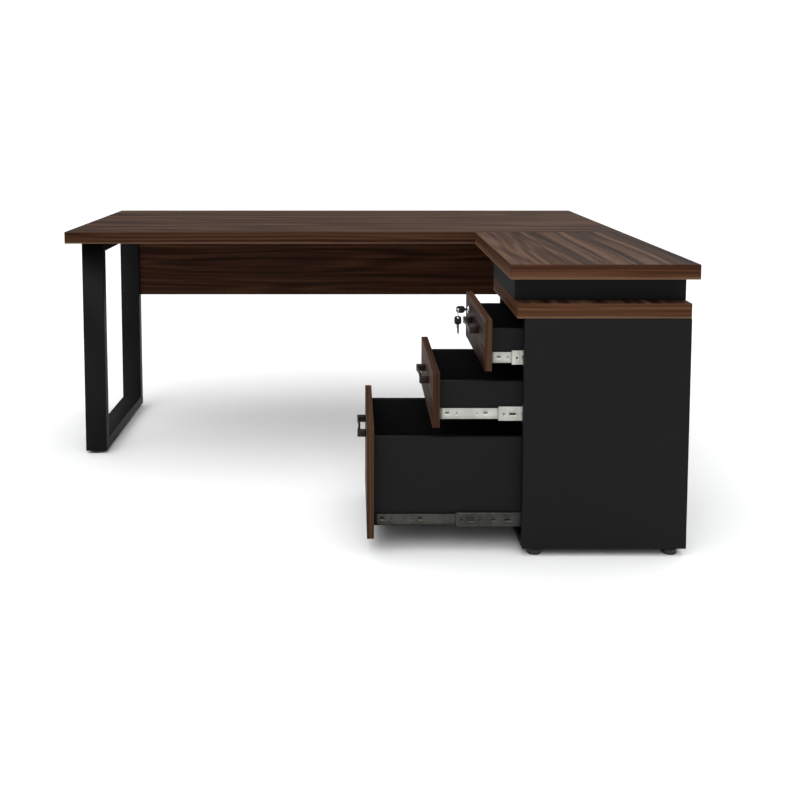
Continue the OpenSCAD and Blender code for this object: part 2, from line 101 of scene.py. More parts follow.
around = np.linspace(0, 2 * np.pi, FLOOR_STEPS, endpoint=False)
floor_mesh = bpy.data.meshes.new("floor")
floor_mesh.from_pydata(
    np.stack([FLOOR_RADIUS * np.cos(around), FLOOR_RADIUS * np.sin(around), 0 * around], 1).tolist(),
    [], [list(range(FLOOR_STEPS))])
floor = bpy.data.objects.new("floor", floor_mesh)
room.collection.objects.link(floor)
floor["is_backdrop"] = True

floor_paint = bpy.data.materials.new("pale_floor")
floor_paint.use_nodes = True
paint = floor_paint.node_tree
speckle = noise(paint, object_place(paint), 3.0, 2.0)
tint = blend_of(paint, speckle, (0.90, 0.90, 0.90, 1), (0.93, 0.93, 0.925, 1))
paint.links.new(tint, paint.nodes["Principled BSDF"].inputs["Base Color"])
paint.nodes["Principled BSDF"].inputs["Roughness"].default_value = 0.85
paint.nodes["Principled BSDF"].inputs["Specular IOR Level"].default_value = 0.1
floor_mesh.materials.append(floor_paint)

# A white surround, which lights the desk less than it shows to the camera
surround = bpy.data.worlds.new("surround")
surround.use_nodes = True
sky = surround.node_tree
white = put(sky, "Background", {"Color": (1, 1, 1, 1), "Strength": 1.05})
rise = put(sky, "SeparateXYZ", {0: put(sky, "TexCoord", {}).outputs["Generated"]}).outputs["Z"]
height = put(sky, "MapRange", {"Value": rise, "From Min": 0.1, "From Max": 0.9,
                               "To Min": LOW_AMBIENT, "To Max": HIGH_AMBIENT})
dim = put(sky, "Background", {"Color": (0.97, 0.985, 1, 1), "Strength": height.outputs["Result"]})
seen = put(sky, "LightPath", {}).outputs["Is Camera Ray"]
sky.links.new(put(sky, "MixShader", {0: seen, 1: dim.outputs[0], 2: white.outputs[0]}).outputs[0],
              sky.nodes["World Output"].inputs["Surface"])
room.world = surround


def lamp(name, kind, strength, place, aim, **settings):
    """A light at place that faces the point aim."""
    made = bpy.data.lights.new(name, kind)
    made.energy = strength
    for key, value in settings.items():
        setattr(made, key, value)
    holder = bpy.data.objects.new(name, made)
    away = np.subtract(place, aim)
    holder.location = place
    holder.visible_camera = False
    holder.rotation_euler = (math.atan2(math.hypot(away[0], away[1]), away[2]), 0,
                             math.atan2(away[1], away[0]) + math.pi / 2)
    room.collection.objects.link(holder)


lamp("overhead", "SUN", 1.9, (-1.1, -1.2, 4), (0, 0, 0), angle=math.radians(80))
lamp("back_fill", "SUN", 1.0, (3.2, 2.4, 2.2), (0, 0, 0), angle=math.radians(70))
lamp("softbox", "AREA", 31, (-0.1, -3.8, 2.3), (0.6, -0.7, 0.45), size=2.2)

camera = bpy.data.cameras.new("camera")
camera.sensor_width = 36
camera.lens = 43.74
camera.shift_x = 0.0578
camera.shift_y = -0.25
camera.clip_end = 300
eye = bpy.data.objects.new("camera", camera)
eye.location = (0.0344, -3.1455, 1.1013)
eye.rotation_euler = (math.radians(90 - 4.54), 0, 0)
room.collection.objects.link(eye)
room.camera = eye


# ---- Tops: walnut-faced board, 38 mm thick ----
# Particle board with a printed walnut face, edged all round with a 2 mm plastic band of
# its own figure. The face's grain runs along each top; the band's runs along the edge.

ARC = np.linspace(0, np.pi / 2, 4)
OUTLINE_POINTS = 4 * len(ARC)
BAND_OFFSET = 3


def grid_faces(rows, around, close_rows=False):
    """The four-sided faces between rows of points that each close round. Point i of row k is
    number k * around + i; close_rows joins the last row to the first."""
    k, i = (m.ravel() for m in np.meshgrid(np.arange(rows if close_rows else rows - 1),
                                           np.arange(around), indexing="ij"))
    after, beside = (k + 1) % rows, (i + 1) % around
    return np.stack([k * around + i, k * around + beside, after * around + beside, after * around + i],
                    1).tolist()


def outline(half_a, half_b, corner):
    """A rectangle with rounded corners, counter-clockwise: each corner is a quarter circle
    about its own centre."""
    quarters = []
    for turn, (sa, sb) in enumerate([(1, 1), (-1, 1), (-1, -1), (1, -1)]):
        angle = ARC + turn * np.pi / 2
        quarters.append(np.stack([sa * (half_a - corner) + corner * np.cos(angle),
                                  sb * (half_b - corner) + corner * np.sin(angle)], 1))
    return np.concatenate(quarters)


def board_shell(low, high, edge=0.001, corner=0.0012, flat=None):
    """A board's points, its faces, its thin axis, the distances round its outline and through
    its thickness, and its worn-edge mask, which is 1 on the middle of each edge's fillet.

    Rings of one rounded outline are stacked through the thickness. A ring at angle p on the
    fillet lies edge * (1 - sin p) in from the outline and edge * (1 - cos p) from the face."""
    low, high = np.array(low), np.array(high)
    size = high - low
    through = int(np.argmin(size)) if flat is None else flat
    a, b = (through + 1) % 3, (through + 2) % 3
    inset = np.concatenate([edge * (1 - np.sin(ARC)), edge * (1 - np.cos(ARC))])
    depth = np.concatenate([edge * (1 - np.cos(ARC)), size[through] - edge * (1 - np.sin(ARC))])
    middle = ((low + high) / 2)[[a, b]]
    rings = []
    for d, t in zip(inset, depth):
        ring = np.zeros((OUTLINE_POINTS, 3))
        ring[:, [a, b]] = outline(size[a] / 2 - d, size[b] / 2 - d, corner + edge - d) + middle
        ring[:, through] = low[through] + t
        rings.append(ring)
    n, layers = OUTLINE_POINTS, len(rings)
    bands = grid_faces(layers, n)
    faces = [list(range(n))[::-1], list(range((layers - 1) * n, layers * n))] + bands
    widest = rings[len(ARC) - 1]
    walk = np.concatenate([[0], np.cumsum(np.linalg.norm(np.diff(widest, axis=0), axis=1))])
    walk = np.append(walk, walk[-1] + np.linalg.norm(widest[0] - widest[-1]))
    worn = np.repeat((inset > edge * 0.05) & (inset < edge * 0.95), n).astype(np.float32)
    return np.concatenate(rings), faces, through, walk, depth, worn


def add_object(name, mesh, finishes):
    """The mesh as an object in its finishes."""
    for finish in finishes:
        mesh.materials.append(finish)
    mesh.update()
    made = bpy.data.objects.new(name, mesh)
    room.collection.objects.link(made)
    return made


def fix_piece(piece, body, node=None):
    """Fixes a piece to its CAD body and hides the CAD node it stands for."""
    if node:
        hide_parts(node)
    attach(piece, body)


def board_piece(name, low, high, finishes, grain=None, offset=0.0, edge=0.001, corner=0.0012):
    """One board as an object. Its "grain" map holds metres along and across the figure: flat
    on the two faces, and wrapped round the edge band. offset takes the figure from further
    along, so that no two boards match. Faces take the first finish, the band the last."""
    points, faces, through, walk, depth, worn = board_shell(low, high, edge, corner)
    grain = (through + 1) % 3 if grain is None else grain
    mesh = bpy.data.meshes.new(name)
    mesh.from_pydata(points.tolist(), [], faces)
    n = OUTLINE_POINTS
    across = 3 - through - grain
    cap = points[np.array(faces[0] + faces[1])][:, [grain, across]] + [offset, 0]
    k, i = np.meshgrid(np.arange(len(depth) - 1), np.arange(n), indexing="ij")
    corners = np.stack([np.stack([walk[i + di], depth[k + dk]], -1)
                        for dk, di in ((0, 0), (0, 1), (1, 1), (1, 0))], 2)
    wrap = corners.reshape(-1, 2) + [offset * BAND_OFFSET, 0]
    grain_map = np.concatenate([cap, wrap]).astype(np.float32)
    mesh.uv_layers.new(name="grain").data.foreach_set("uv", grain_map.ravel())
    mesh.attributes.new("worn", "FLOAT", "POINT").data.foreach_set("value", worn)
    wall = np.arange(len(faces)) - 2
    on_band = (wall >= 0).astype(np.int32)
    mesh.polygons.foreach_set("material_index", on_band * (len(finishes) - 1))
    mesh.polygons.foreach_set("use_smooth", (wall >= 0) & (wall // n != len(ARC) - 1))
    return add_object(name, mesh, finishes)


def new_group(name, takes, gives):
    """Starts a node group. takes holds each input's name and resting value; gives names the outputs."""
    tree = bpy.data.node_groups.new(name, "ShaderNodeTree")
    for label, value in takes.items():
        kind = "Vector" if label == "Vector" else "Color" if isinstance(value, tuple) else "Float"
        made = tree.interface.new_socket(label, in_out="INPUT", socket_type="NodeSocket" + kind)
        if kind != "Vector":
            made.default_value = value
    for label in gives:
        kind = "Color" if label == "Color" else "Float"
        tree.interface.new_socket(label, in_out="OUTPUT", socket_type="NodeSocket" + kind)
    return tree, tree.nodes.new("NodeGroupInput").outputs, tree.nodes.new("NodeGroupOutput").inputs


def maths(tree, operation, *terms):
    """One sum on sockets or numbers."""
    return put(tree, "Math", dict(enumerate(terms)), operation=operation).outputs[0]


def ease(tree, value, low, high):
    """0 below low, 1 above high, with a smooth rise between them."""
    wires = {"Value": value, "From Min": low, "From Max": high}
    return put(tree, "MapRange", wires, interpolation_type="SMOOTHSTEP").outputs["Result"]


def stretched(tree, vector, along, across, detail):
    """Noise drawn out along the grain: along and across are how many lumps fit in a metre."""
    spread = put(tree, "Mapping", {"Vector": vector, "Scale": (along, across, 1)})
    wires = {"Vector": spread.outputs[0], "Scale": 1.0, "Detail": detail, "Roughness": 0.6}
    return put(tree, "TexNoise", wires).outputs["Fac"]


# Figure of the walnut: growth rings are the levels of a drawn-out noise, crossed by broad
# streaks and fine lines, with short dark pores
figure, given, out = new_group(
    "walnut_figure",
    {"Vector": None, "Dark": (0.02, 0.009, 0.005, 1), "Middle": (0.06, 0.03, 0.017, 1),
     "Light": (0.12, 0.065, 0.04, 1), "Rings": 0.3, "Streaks": 0.7, "Lines": 0.4},
    ["Color", "Height", "Roughness"])
SWAY, RING_COUNT, RING_RAGGED = 0.05, 62, 2.2
drift = maths(figure, "MULTIPLY", stretched(figure, given["Vector"], 1.3, 4, 1.0), SWAY)
sway = put(figure, "CombineXYZ", {1: drift}).outputs[0]
swayed = put(figure, "VectorMath", {0: given["Vector"], 1: sway}, operation="ADD").outputs[0]
hills = stretched(figure, swayed, 0.5, 6.5, 1.5)
streaks = stretched(figure, swayed, 0.3, 30, 3.0)
lines = stretched(figure, swayed, 1.6, 280, 3.0)
pores = ease(figure, stretched(figure, swayed, 24, 620, 1.0), 0.56, 0.74)
level = maths(figure, "ADD", maths(figure, "MULTIPLY", hills, RING_COUNT),
              maths(figure, "MULTIPLY", streaks, RING_RAGGED))
rings = maths(figure, "MULTIPLY_ADD", maths(figure, "SINE", level), 0.5, 0.5)
tone = 0.5
for part, weight in ((rings, given["Rings"]), (ease(figure, streaks, 0.32, 0.68), given["Streaks"]),
                     (ease(figure, lines, 0.3, 0.7), given["Lines"])):
    share = maths(figure, "MULTIPLY", maths(figure, "SUBTRACT", part, 0.5), weight)
    tone = maths(figure, "ADD", tone, share)
colour = blend_of(figure, ease(figure, tone, 0.0, 0.5), given["Dark"], given["Middle"])
colour = blend_of(figure, ease(figure, tone, 0.5, 1.0), colour, given["Light"])
colour = blend_of(figure, maths(figure, "MULTIPLY", pores, 0.3), colour, given["Dark"])
figure.links.new(colour, out["Color"])
figure.links.new(maths(figure, "SUBTRACT", maths(figure, "MULTIPLY", lines, 0.4), pores), out["Height"])
figure.links.new(maths(figure, "MULTIPLY_ADD", pores, 0.18, maths(figure, "MULTIPLY_ADD", lines, 0.14, 0.5)),
                 out["Roughness"])

# Wear along an edge, from the piece's own mask, broken up by a noise: 1 where it is rubbed
rubbed, given, out = new_group("edge_wear", {"Vector": None, "Mask": 0.0, "Amount": 0.5}, ["Wear"])
patchy = ease(rubbed, noise(rubbed, given["Vector"], 60.0, 3.0), 0.35, 0.7)
patches = maths(rubbed, "MULTIPLY", patchy, given["Mask"])
rubbed.links.new(maths(rubbed, "MULTIPLY", patches, given["Amount"]), out["Wear"])


def start_finish(name, **plain):
    """A material with its uniform numbers set on the shader's own sockets."""
    made = bpy.data.materials.new(name)
    made.use_nodes = True
    shader = made.node_tree.nodes["Principled BSDF"]
    for label, value in plain.items():
        shader.inputs[label.replace("_", " ")].default_value = value
    return made, made.node_tree, shader


def use_group(tree, group, wires):
    """The outputs of a node group placed in a material with its own values."""
    return put(tree, "Group", wires, node_tree=group).outputs


def wear_of(tree, amount):
    """The edge wear mask of the piece that wears this finish."""
    mask = put(tree, "Attribute", {}, attribute_name="worn").outputs["Fac"]
    return use_group(tree, rubbed, {"Vector": object_place(tree), "Mask": mask, "Amount": amount})["Wear"]


def add_bump(tree, shader, height, strength, distance):
    """Tilts the surface by a height value that stands distance metres at most."""
    bump = put(tree, "Bump", {"Height": height, "Strength": strength, "Distance": distance})
    tree.links.new(bump.outputs[0], shader.inputs["Normal"])


def walnut_finish(name, dark, middle, light, rings, streaks, lines, zoom=1.0, pale_line=0.0):
    """Walnut print: zoom narrows the figure, and pale_line is the strength of the sapwood
    line low on a band."""
    made, tree, shader = start_finish(name, Specular_IOR_Level=0.06)
    place = put(tree, "UVMap", {}, uv_map="grain").outputs[0]
    narrow = put(tree, "Mapping", {"Vector": place, "Scale": (1, zoom, 1)}).outputs[0]
    wood = use_group(tree, figure, {"Vector": narrow, "Dark": dark, "Middle": middle, "Light": light,
                                    "Rings": rings, "Streaks": streaks, "Lines": lines})
    colour = wood["Color"]
    if pale_line:
        height = put(tree, "SeparateXYZ", {0: place}).outputs["Y"]
        wavy = maths(tree, "MULTIPLY_ADD", stretched(tree, place, 5, 1, 2.0), 0.006, height)
        band = maths(tree, "SUBTRACT", 1.0, ease(tree, wavy, 0.0065, 0.0105))
        colour = blend_of(tree, maths(tree, "MULTIPLY", band, pale_line), colour, (0.15, 0.088, 0.05, 1))
    colour = blend_of(tree, wear_of(tree, 0.35), colour, light)
    tree.links.new(colour, shader.inputs["Base Color"])
    tree.links.new(wood["Roughness"], shader.inputs["Roughness"])
    add_bump(tree, shader, wood["Height"], 0.12, 0.0002)
    return made


walnut_face = walnut_finish("walnut_face", (0.014, 0.0058, 0.0030, 1), (0.044, 0.0218, 0.0124, 1),
                            (0.108, 0.0575, 0.0340, 1), 0.34, 0.85, 0.4)
walnut_band = walnut_finish("walnut_band", (0.030, 0.0100, 0.0042, 1), (0.070, 0.0280, 0.0122, 1),
                            (0.116, 0.056, 0.028, 1), 0.28, 0.7, 0.4, zoom=3.0, pale_line=0.6)
# The main top's band is a darker copy of the other tops' band: painted shade on its long front edge, which is
# less lit.
shade_painted_band = walnut_finish("walnut_dark_band", (0.020, 0.0065, 0.0028, 1), (0.048, 0.0190, 0.0085, 1),
                          (0.090, 0.042, 0.021, 1), 0.28, 0.8, 0.4, zoom=3.0, pale_line=0.45)

ALONG_X, ALONG_Y = 0, 1
TOP_OFFSET = 2.3
TOPS = [("main_top", ALONG_X, shade_painted_band), ("return_top", ALONG_Y, walnut_band),
        ("pedestal_top", ALONG_Y, walnut_band)]
for count, (top, grain, band) in enumerate(TOPS):
    piece = board_piece("walnut_" + top, *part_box(top), [walnut_face, band], grain, offset=TOP_OFFSET * count,
                        edge=0.0016, corner=0.002)
    fix_piece(piece, "desk", top)


# ---- Modesty panel: walnut-faced board, 15 mm thick ----
# Hangs under the main top between the far posts of the two leg frames. Its thin band is
# pressed flush, and it is held from behind by four angle brackets.

thin_band = walnut_finish("walnut_thin_band", (0.018, 0.0068, 0.0031, 1), (0.038, 0.0165, 0.0082, 1),
                          (0.066, 0.033, 0.018, 1), 0.25, 0.7, 0.35, zoom=2.6)
# The panel's face is a darker, redder copy of the walnut face: painted shade for the shadow under the main
# top.
painted_shade_face = walnut_finish("walnut_shaded_face", (0.013, 0.0040, 0.0015, 1), (0.037, 0.0132, 0.0056, 1),
                            (0.066, 0.0275, 0.0128, 1), 0.4, 0.5, 0.5, zoom=1.8)
panel = board_piece("walnut_modesty_panel", *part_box("modesty_panel"), [painted_shade_face, thin_band], ALONG_X,
                    offset=11.6, edge=0.0007)
fix_piece(panel, "desk", "modesty_panel")


# ---- Pedestal carcass and riser: black melamine board ----
# Sides, back and bottom are 18 mm and 15 mm board joined by cam fittings; four strips of
# the same board carry the return top above the pedestal's walnut board.

# Pressed melamine: a fine, even pebble with a faint cloudiness
pebble, given, out = new_group("melamine_pebble", {"Vector": None, "Size": 900.0}, ["Height", "Cloud"])
pebble.links.new(noise(pebble, given["Vector"], given["Size"], 2.0), out["Height"])
pebble.links.new(noise(pebble, given["Vector"], 3.0, 2.0), out["Cloud"])


def add_gloss(tree, shader, value, low, high, smooth, rough):
    """Roughness that goes from smooth to rough as value goes from low to high."""
    gloss = put(tree, "MapRange", {"Value": value, "From Min": low, "From Max": high,
                                   "To Min": smooth, "To Max": rough}).outputs["Result"]
    tree.links.new(gloss, shader.inputs["Roughness"])


def black_finish(name, dark, light, smooth, rough, grit, depth, worn_tone, specular):
    """A dark coating whose tone and gloss drift a little, with a pebbled surface and rubbed
    edges. grit is how many pebbles fit in a metre, and depth is how high they stand."""
    made, tree, shader = start_finish(name, Specular_IOR_Level=specular)
    skin = use_group(tree, pebble, {"Vector": object_place(tree), "Size": grit})
    tone = blend_of(tree, skin["Cloud"], dark, light)
    tree.links.new(blend_of(tree, wear_of(tree, 0.5), tone, worn_tone), shader.inputs["Base Color"])
    add_gloss(tree, shader, skin["Cloud"], 0.3, 0.7, smooth, rough)
    add_bump(tree, shader, skin["Height"], 0.2, depth)
    return made


melamine = black_finish("black_melamine", (0.0056, 0.0056, 0.0057, 1), (0.0082, 0.0082, 0.0083, 1),
                        0.54, 0.62, 1100.0, 0.00006, (0.020, 0.020, 0.020, 1), 0.1)
BLACK_PANELS = ["pedestal_near_side", "pedestal_far_side", "pedestal_back", "pedestal_bottom",
                "riser_near", "riser_far", "riser_left", "riser_right"]
for name in BLACK_PANELS:
    piece = board_piece("black_" + name, *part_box(name), [melamine])
    fix_piece(piece, "desk", name)


# ---- Leg frames: loops of 70 x 35 mm steel tube, powder-coated black ----
# Four mitred lengths of tube are welded into a loop and dressed flat. Two ears welded to
# the inner face of each loop take the screws that go up into the main top.

TUBE_THICK = 0.035
TUBE_WIDE = 0.07
TUBE_ROUND = 0.0025
EAR_Y = (0.115, 0.495)
EAR_HALF, EAR_THICK = 0.02, 0.003

powder = black_finish("powder_coat", (0.0042, 0.0042, 0.0043, 1), (0.0054, 0.0054, 0.0055, 1),
                      0.46, 0.54, 1400.0, 0.00015, (0.018, 0.018, 0.019, 1), 0.1)


def plain_piece(name, points, faces, finish, smooth=True):
    """An object from an array of points and a list of faces, in one finish."""
    mesh = bpy.data.meshes.new(name)
    mesh.from_pydata(points.tolist(), [], faces)
    mesh.polygons.foreach_set("use_smooth", np.full(len(mesh.polygons), smooth))
    return add_object(name, mesh, [finish])


def tube_loop(low, high, thick, rounding):
    """A rounded tube section carried round a rectangle in Y and Z.

    The section's point (x, s) stands s outside the tube's middle line, so at each mitre it
    lies at the middle line's corner plus s along both outward directions."""
    middle = (np.array(low) + np.array(high)) / 2
    half = (np.array(high) - np.array(low)) / 2
    section = outline(half[0], thick / 2, rounding)
    x, s = section[:, 0] + middle[0], section[:, 1]
    out_y, out_z = half[1] - thick / 2 + s, half[2] - thick / 2 + s
    rings = [np.stack([x, middle[1] + sy * out_y, middle[2] + sz * out_z], 1)
             for sy, sz in [(-1, -1), (1, -1), (1, 1), (-1, 1)]]
    faces = grid_faces(4, len(section), close_rows=True)
    return np.concatenate(rings), [face[::-1] for face in faces]


for side in ("left", "right"):
    node = side + "_leg_frame"
    low, high = (np.array(corner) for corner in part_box(node))
    ear_width = high[0] - low[0] - TUBE_WIDE
    tube_low, tube_high = low.copy(), high.copy()
    if side == "left":
        tube_high[0] -= ear_width
        ear_x = (tube_high[0], high[0])
    else:
        tube_low[0] += ear_width
        ear_x = (low[0], tube_low[0])
    points, faces = tube_loop(tube_low, tube_high, TUBE_THICK, TUBE_ROUND)
    loop = plain_piece("steel_" + node, points, faces, powder)
    # A face whose corners' normals all lean alike along X is one of the flat sides
    lean = [{round(loop.data.vertices[k].normal.x, 5) for k in face.vertices} for face in loop.data.polygons]
    loop.data.polygons.foreach_set("use_smooth", [len(leans) > 1 for leans in lean])
    fix_piece(loop, "desk", node)
    for count, y in enumerate(EAR_Y):
        ear = board_piece(f"steel_{side}_ear_{count}", (ear_x[0], y - EAR_HALF, high[2] - EAR_THICK),
                          (ear_x[1], y + EAR_HALF, high[2]), [powder], edge=0.0004, corner=0.003)
        fix_piece(ear, "desk")


# ---- Hidden hardware: plates, brackets, screws, dowels and cam fittings ----
# Plates and dowels join the two tops, brackets hold the modesty panel, and cams pull the
# carcass together. Pressed and turned steel, zinc plated; the dowels are grooved beech.


def metal_finish(name, dark, light, smooth, rough, metallic, scratch=(3, 900)):
    """Plated or polished metal: fine marks drift its tone and gloss. scratch is how many
    marks fit in a metre along X and along Y."""
    made, tree, shader = start_finish(name, Metallic=metallic)
    place = object_place(tree)
    marks = stretched(tree, place, scratch[0], scratch[1], 3.0)
    bloom = noise(tree, place, 35.0, 3.0)
    mixed = maths(tree, "MULTIPLY_ADD", marks, 0.5, maths(tree, "MULTIPLY", bloom, 0.5))
    tone = blend_of(tree, ease(tree, mixed, 0.35, 0.65), dark, light)
    tree.links.new(blend_of(tree, wear_of(tree, 0.3), tone, light), shader.inputs["Base Color"])
    add_gloss(tree, shader, mixed, 0.35, 0.65, smooth, rough)
    add_bump(tree, shader, marks, 0.15, 0.0001)
    return made


zinc = metal_finish("bright_zinc", (0.40, 0.40, 0.365, 1), (0.54, 0.54, 0.495, 1), 0.38, 0.5, 0.5)

beech, wood, shader = start_finish("beech_dowel", Roughness=0.7)
pith = stretched(wood, object_place(wood), 400, 25, 3.0)
tint = blend_of(wood, pith, (0.36, 0.22, 0.11, 1), (0.62, 0.43, 0.25, 1))
wood.links.new(tint, shader.inputs["Base Color"])
add_bump(wood, shader, pith, 0.3, 0.0003)

HARDWARE = {"seam_plates": powder, "seam_dowels": beech, "board_screws": zinc, "modesty_brackets": zinc,
            "cam_discs": zinc, "cam_bolts": zinc, "lock_strike": zinc}


def wear_finish(node, finish):
    """Gives a CAD node's own mesh a finish."""
    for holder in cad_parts[node].material_slots:
        holder.material = finish


for node, finish in HARDWARE.items():
    wear_finish(node, finish)


# ---- Feet: moulded black plastic discs on steel stems ----
# Low discs screw into the bottom rail of each leg frame, and taller ribbed ones into the
# pedestal's bottom board. Turning them by the rim levels the desk.

moulded = black_finish("moulded_plastic", (0.007, 0.007, 0.0072, 1), (0.011, 0.011, 0.0112, 1), 0.36, 0.5,
                       700.0, 0.00015, (0.025, 0.025, 0.025, 1), 0.45)


def turned(profile, centre, axis=2, steps=48, ribs=0, rib_depth=0.0):
    """Points and faces of a turned part about an axis. The profile's (r, h) starts and ends
    on the axis; the radius at angle q is r, less rib_depth * (1 - cos(ribs * q)) / 2 where
    the profile's third number asks for ribs."""
    profile = np.array(profile)
    q = np.linspace(0, 2 * np.pi, steps, endpoint=False)
    ribbed = profile[1:-1, 2] if profile.shape[1] > 2 else np.zeros(len(profile) - 2)
    r = profile[1:-1, 0][:, None] - ribbed[:, None] * rib_depth * (1 - np.cos(ribs * q)) / 2
    h = np.repeat(profile[1:-1, 1][:, None], steps, 1)
    u, v = (axis + 1) % 3, (axis + 2) % 3
    points = np.zeros((r.size + 2, 3))
    points[:-2, [u, v, axis]] = np.stack([r * np.cos(q), r * np.sin(q), h], -1).reshape(-1, 3)
    points[-2, axis], points[-1, axis] = profile[0, 1], profile[-1, 1]
    walls = grid_faces(len(r), steps)
    i = np.arange(steps)
    last = (len(r) - 1) * steps
    caps = np.stack([(i + 1) % steps, i, np.full(steps, r.size)], 1).tolist()
    caps += np.stack([last + i, last + (i + 1) % steps, np.full(steps, r.size + 1)], 1).tolist()
    return points + np.array(centre), walls + caps


def gathered(parts):
    """Joins several (points, faces) into one."""
    points, faces, start = [], [], 0
    for some_points, some_faces in parts:
        points.append(some_points)
        faces += [[start + k for k in face] for face in some_faces]
        start += len(some_points)
    return np.concatenate(points), faces


# Profiles of (radius, height) from the floor up; the third number of the taller one marks its ribs
FRAME_FOOT = [(0, 0), (0.016, 0), (0.0185, 0.0002), (0.0205, 0.0012), (0.0222, 0.0026), (0.0229, 0.0042),
              (0.0229, 0.0070), (0.0222, 0.0083), (0.0212, 0.0089), (0.006, 0.0089), (0.004, 0.0089),
              (0.004, 0.025), (0, 0.025)]
PEDESTAL_FOOT = [(0, 0, 0), (0.0155, 0, 0), (0.0172, 0.0005, 0), (0.0184, 0.0018, 0), (0.0190, 0.0036, 0),
                 (0.0190, 0.0042, 1), (0.0190, 0.0128, 1), (0.0188, 0.0138, 0), (0.0180, 0.0150, 0),
                 (0.0165, 0.0158, 0), (0.0112, 0.0160, 0), (0.0110, 0.0162, 0), (0.0110, 0.0192, 0),
                 (0.0104, 0.0199, 0), (0.0040, 0.0199, 0), (0.0040, 0.0340, 0), (0, 0.0340, 0)]
FEET = {"frame_feet": (0.023, FRAME_FOOT, {}),
        "pedestal_feet": (0.019, PEDESTAL_FOOT, {"steps": 144, "ribs": 36, "rib_depth": 0.0007})}
for node, (radius, profile, ribbing) in FEET.items():
    low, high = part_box(node)
    feet = gathered([turned(profile, (x, y, 0), **ribbing) for x in (low.x + radius, high.x - radius)
                     for y in (low.y + radius, high.y - radius)])
    piece = plain_piece("plastic_" + node, *feet, moulded)
    piece.data.set_sharp_from_angle(angle=math.radians(35))
    fix_piece(piece, "desk", node)


# ---- Drawers: black boxes with walnut fronts ----
# Each box is two sides, a back and a bottom let into grooves. The front is 18 mm walnut
# board, edged all round, screwed to the box from inside.

front_face = walnut_finish("walnut_front_face", (0.010, 0.0038, 0.0020, 1), (0.038, 0.0170, 0.0092, 1),
                           (0.090, 0.0455, 0.0260, 1), 0.45, 0.9, 0.4)

FRONT_OFFSET, FRONT_OFFSET_STEP = 5.9, 1.7
for level, drawer in enumerate(("top_drawer", "middle_drawer", "bottom_drawer")):
    node = drawer + "_front"
    front = board_piece("walnut_" + node, *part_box(node), [front_face, thin_band], ALONG_Y,
                        offset=FRONT_OFFSET + FRONT_OFFSET_STEP * level, edge=0.0009, corner=0.0014)
    fix_piece(front, drawer, node)
    for part in ("near_side", "far_side", "back", "bottom"):
        node = f"{drawer}_{part}"
        piece = board_piece("black_" + node, *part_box(node), [melamine], edge=0.0006)
        fix_piece(piece, drawer, node)


# ---- Slides: three telescoping members of rolled steel, a pair to each drawer ----
# The cabinet member is screwed to the carcass and the drawer member to the box; the middle
# one runs between them on caged balls. The lowest, longer-travelled pair is dark plated.

SHEET = 0.0012
dark_zinc = metal_finish("dark_zinc", (0.028, 0.029, 0.025, 1), (0.065, 0.067, 0.058, 1), 0.34, 0.48, 0.7)


def rolled_member(length, height, depth, cuts):
    """A channel as (x, depth, z) points and faces.

    Each flange is one profile carried along x: a quarter-circle bend, a run with a shallow
    ball groove of groove * sin^2, and a rolled lip. The web between them is cells; a cell
    with a slot joins the slot's rim, a half circle at each end, to its own four corners."""
    bend, lip, groove, cell_margin = 0.002, 0.0012, 0.0005, 0.004
    turn = np.linspace(0, np.pi / 2, 4)
    run = np.linspace(0, 1, 7)[1:-1]
    d = np.concatenate([bend * (1 - np.cos(turn)), bend + run * (depth - bend - lip),
                        depth - lip + lip * np.sin(turn)])
    z = np.concatenate([bend * np.sin(turn) - bend, -groove * np.sin(np.pi * run) ** 2,
                        lip * np.cos(turn) - lip]) + height / 2
    cell_ends = {round(c + s * (w / 2 + cell_margin), 6) for c, w, _ in cuts for s in (-1, 1)}
    xs = np.array(sorted({0.0, length} | cell_ends))
    n, k = len(xs), len(d)
    grid = np.zeros((n, k, 3))
    grid[..., 0], grid[..., 1], grid[..., 2] = xs[:, None], d, z
    upper, lower = grid.reshape(-1, 3), (grid * [1, 1, -1]).reshape(-1, 3)
    i, j = (m.ravel() for m in np.meshgrid(np.arange(n - 1), np.arange(k - 1), indexing="ij"))
    up = np.stack([i * k + j, (i + 1) * k + j, (i + 1) * k + j + 1, i * k + j + 1], 1)
    faces = up.tolist() + (up[:, ::-1] + n * k).tolist()
    extra = []
    start = 2 * n * k
    rim = np.linspace(0, np.pi, 7)
    for cell in range(n - 1):
        corners = [(cell + 1) * k, cell * k, n * k + cell * k, n * k + (cell + 1) * k]
        middle = (xs[cell] + xs[cell + 1]) / 2
        cut = [c for c in cuts if abs(c[0] - middle) < 1e-4]
        if not cut:
            faces.append([corners[2], corners[3], corners[0], corners[1]])
            continue
        _, wide, tall = cut[0]
        straight = (wide - tall) / 2
        right = np.stack([middle + straight + tall / 2 * np.sin(rim), 0 * rim, tall / 2 * np.cos(rim)], 1)
        left = np.stack([middle - straight - tall / 2 * np.sin(rim), 0 * rim, -tall / 2 * np.cos(rim)], 1)
        extra.append(np.concatenate([right, left]))
        a = start + np.arange(14)
        quarters = [(a[0:4], corners[0]), (a[3:7], corners[3]), (a[7:11], corners[2]), (a[10:14], corners[1])]
        for rim_part, corner in quarters:
            faces += [[corner, int(q), int(p)] for p, q in zip(rim_part[:-1], rim_part[1:])]
        faces += [[corners[0], corners[3], int(a[3])], [corners[3], corners[2], int(a[7]), int(a[6])],
                  [corners[2], corners[1], int(a[10])], [corners[1], corners[0], int(a[0]), int(a[13])]]
        start += 14
    return np.concatenate([upper, lower, *extra]), faces


